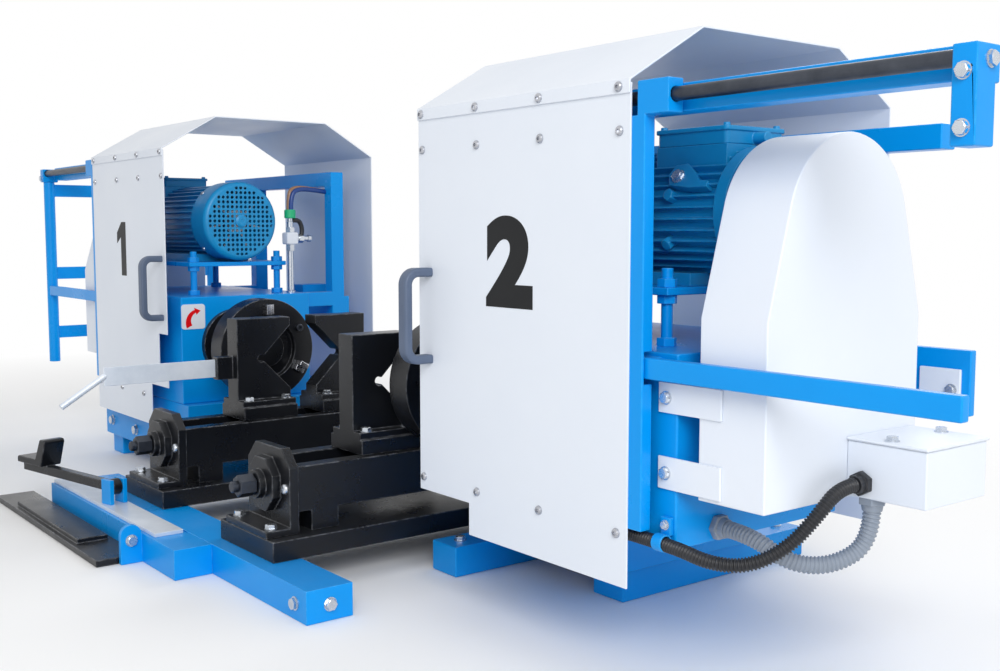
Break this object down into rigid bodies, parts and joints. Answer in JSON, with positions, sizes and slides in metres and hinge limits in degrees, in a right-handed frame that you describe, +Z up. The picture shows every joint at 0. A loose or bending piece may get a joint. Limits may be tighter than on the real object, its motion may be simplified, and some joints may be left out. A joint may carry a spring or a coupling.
{
  "type": "twin head boring machine",
  "caption": "Floor-standing machine with opposed belt-driven boring heads under sliding sheet guards and self-centring vee clamps between them, for boring both ends of a tube.",
  "frame": {"origin": "on the floor below the middle of the machine, under the spindle axis", "axes": "+X along the spindle axis towards head B, -Y towards the operator, +Z up"},
  "size_m": [3.3, 1.2, 0.979],
  "materials": {
    "frame_blue": "gloss paint on welded steel",
    "motor_teal": "satin paint on cast housing",
    "sheet_white": "powder-coated sheet",
    "black_paint": "satin black paint",
    "zinc_steel": "bright zinc plate",
    "bright_steel": "ground",
    "dark_steel": "black oxide",
    "cast_iron": "machined",
    "belt_rubber": "matte",
    "handle_grey": "satin",
    "conduit_black": "ribbed",
    "conduit_grey": "spiral"
  },
  "bodies": {
    "machine": {"base_a": "frame_blue", "base_b": "frame_blue", "base_bolts": "zinc_steel", "belt_guard_a": "sheet_white", "belt_guard_b": "sheet_white", "belt_guard_straps": "sheet_white", "black_conduit": "conduit_black", "clamp_bases": "black_paint", "clamp_beds": "black_paint", "clamp_brackets": "black_paint", "column_a": "frame_blue", "column_b": "frame_blue", "drive_belts": "belt_rubber", "end_gate": "frame_blue", "fan_cowl_a": "motor_teal", "fan_cowl_b": "motor_teal", "floor_rails": "frame_blue", "grey_conduit": "conduit_grey", "guide_rods": "dark_steel", "junction_boxes": "sheet_white", "motor_body_a": "motor_teal", "motor_body_b": "motor_teal", "motor_plate_a": "frame_blue", "motor_plate_b": "frame_blue", "motor_studs": "frame_blue", "pedal_plate": "black_paint", "rail_frame_a": "frame_blue", "rail_frame_b": "frame_blue", "spindle_bearings": "bright_steel", "spindle_housing_a": "black_paint", "spindle_housing_b": "black_paint", "terminal_box_a": "motor_teal", "terminal_box_b": "motor_teal", "treadle_strip": "zinc_steel"},
    "guard_a": {"guard_panel_a": "sheet_white", "guard_roof_a": "sheet_white", "guard_slider_a": "frame_blue", "guard_handle_a": "handle_grey", "guard_screws_a": "dark_steel"},
    "guard_b": {"guard_panel_b": "sheet_white", "guard_roof_b": "sheet_white", "guard_slider_b": "frame_blue", "guard_handle_b": "handle_grey", "guard_screws_b": "dark_steel"},
    "head_a_spindle": {"spindle_a": "bright_steel", "boring_head_a": "black_paint", "spindle_pulley_a": "cast_iron"},
    "head_b_spindle": {"spindle_b": "bright_steel", "boring_head_b": "black_paint", "spindle_pulley_b": "cast_iron"},
    "head_a_rotor": {"motor_shaft_a": "bright_steel"},
    "head_b_rotor": {"motor_shaft_b": "bright_steel"},
    "clamp_a_front": {"front_jaw_a": "black_paint", "pull_bar": "zinc_steel"},
    "clamp_a_rear": {"rear_jaw_a": "black_paint"},
    "clamp_a_drive": {"clamp_screw_a": "dark_steel"},
    "clamp_b_front": {"front_jaw_b": "black_paint"},
    "clamp_b_rear": {"rear_jaw_b": "black_paint"},
    "clamp_b_drive": {"clamp_screw_b": "dark_steel"},
    "lever": {"foot_lever": "black_paint"}
  },
  "joints": [
    {"name": "guard_a_slide", "type": "slide", "parent": "machine", "child": "guard_a", "axis": [-1, 0, 0], "range_m": [0, 0.38]},
    {"name": "spindle_a_spin", "type": "hinge", "parent": "machine", "child": "head_a_spindle", "pos_m": [-0.88, 0, 0.37], "axis": [1, 0, 0], "continuous": true},
    {"name": "motor_a_spin", "type": "hinge", "parent": "machine", "child": "head_a_rotor", "pos_m": [-0.97, 0.05, 0.702], "axis": [1, 0, 0], "continuous": true},
    {"name": "guard_b_slide", "type": "slide", "parent": "machine", "child": "guard_b", "axis": [1, 0, 0], "range_m": [0, 0.38]},
    {"name": "spindle_b_spin", "type": "hinge", "parent": "machine", "child": "head_b_spindle", "pos_m": [0.88, 0, 0.37], "axis": [1, 0, 0], "continuous": true},
    {"name": "motor_b_spin", "type": "hinge", "parent": "machine", "child": "head_b_rotor", "pos_m": [0.97, 0.05, 0.702], "axis": [1, 0, 0], "continuous": true},
    {"name": "clamp_a_open", "type": "slide", "parent": "machine", "child": "clamp_a_front", "axis": [0, -1, 0], "range_m": [-0.025, 0.07]},
    {"name": "clamp_a_rear_slide", "type": "slide", "parent": "machine", "child": "clamp_a_rear", "axis": [0, -1, 0], "range_m": [-0.071, 0.026]},
    {"name": "clamp_a_screw_turn", "type": "hinge", "parent": "machine", "child": "clamp_a_drive", "pos_m": [-0.23, 0, 0.188], "axis": [0, 1, 0], "range_deg": [-470, 1280]},
    {"name": "clamp_b_open", "type": "slide", "parent": "machine", "child": "clamp_b_front", "axis": [0, -1, 0], "range_m": [-0.025, 0.07]},
    {"name": "clamp_b_rear_slide", "type": "slide", "parent": "machine", "child": "clamp_b_rear", "axis": [0, -1, 0], "range_m": [-0.071, 0.026]},
    {"name": "clamp_b_screw_turn", "type": "hinge", "parent": "machine", "child": "clamp_b_drive", "pos_m": [0.3, 0, 0.188], "axis": [0, 1, 0], "range_deg": [-470, 1280]},
    {"name": "lever_press", "type": "hinge", "parent": "machine", "child": "lever", "pos_m": [-0.215, -0.472, 0.105], "axis": [-0.2079, 0.9781, 0], "range_deg": [-6, 0], "stiffness_Nm_per_rad": 60, "springref_deg": 11.46}
  ],
  "couplings": [
    {"joint": "motor_a_spin", "follows": "spindle_a_spin", "ratio": 1.2934},
    {"joint": "motor_b_spin", "follows": "spindle_b_spin", "ratio": 1.2934},
    {"joint": "clamp_a_rear_slide", "follows": "clamp_a_open", "ratio": -1},
    {"joint": "clamp_a_screw_turn", "follows": "clamp_a_open", "rad_per_m": 314.16},
    {"joint": "clamp_b_rear_slide", "follows": "clamp_b_open", "ratio": -1},
    {"joint": "clamp_b_screw_turn", "follows": "clamp_b_open", "rad_per_m": 314.16}
  ]
}
